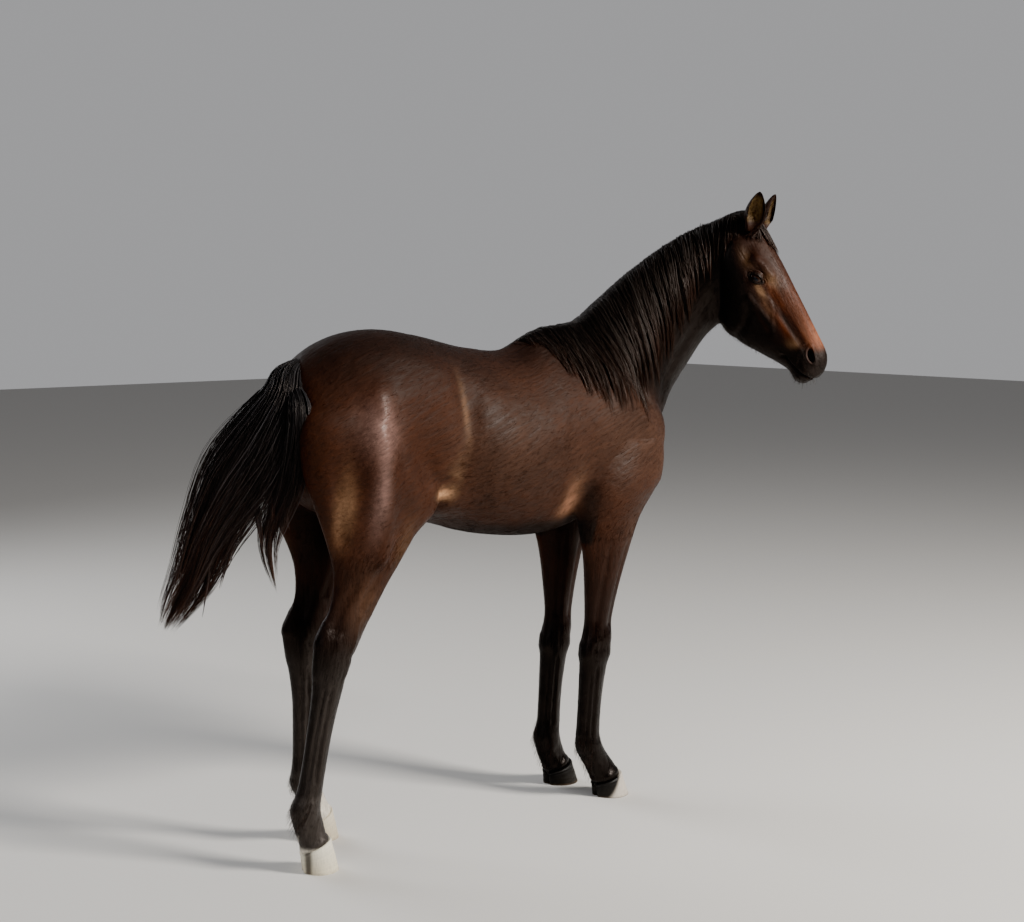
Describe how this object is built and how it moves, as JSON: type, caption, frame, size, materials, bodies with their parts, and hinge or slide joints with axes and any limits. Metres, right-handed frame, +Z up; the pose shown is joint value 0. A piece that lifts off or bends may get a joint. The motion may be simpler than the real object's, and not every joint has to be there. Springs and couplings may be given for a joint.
{
  "type": "young dark bay horse",
  "caption": "A yearling dark bay horse standing square on its hooves, head turned to its right, tail carried out to the rear, as a still life-size figure.",
  "frame": {"origin": "on the floor, under the middle of the horse's whole length and width", "axes": "+X towards the horse's front, +Y to its left, +Z up; the body lies along X and the head is turned towards -Y"},
  "size_m": [1.9514, 0.6744, 1.813],
  "materials": {
    "coat": "short glossy dark bay hair over skin",
    "head_coat": "short brown hair, dark muzzle",
    "leg_coat": "short black hair below knee and hock",
    "hair": "long black hair",
    "eye": "wet dark brown eye",
    "dark_horn": "dark grey hoof horn",
    "grey_horn": "grey hoof horn, pale at the toe",
    "pale_horn": "creamy white hoof horn"
  },
  "bodies": {
    "root": {"trunk": "coat", "neck": "coat", "head": "head_coat", "ear_left": "head_coat", "ear_right": "head_coat", "eye_left": "eye", "eye_right": "eye", "mane": "hair", "forelock": "hair", "tail": "hair", "foreleg_left": "leg_coat", "foreleg_right": "leg_coat", "hindleg_left": "leg_coat", "hindleg_right": "leg_coat", "hoof_fore_left": "dark_horn", "hoof_fore_right": "grey_horn", "hoof_hind_left": "pale_horn", "hoof_hind_right": "pale_horn"}
  },
  "joints": []
}
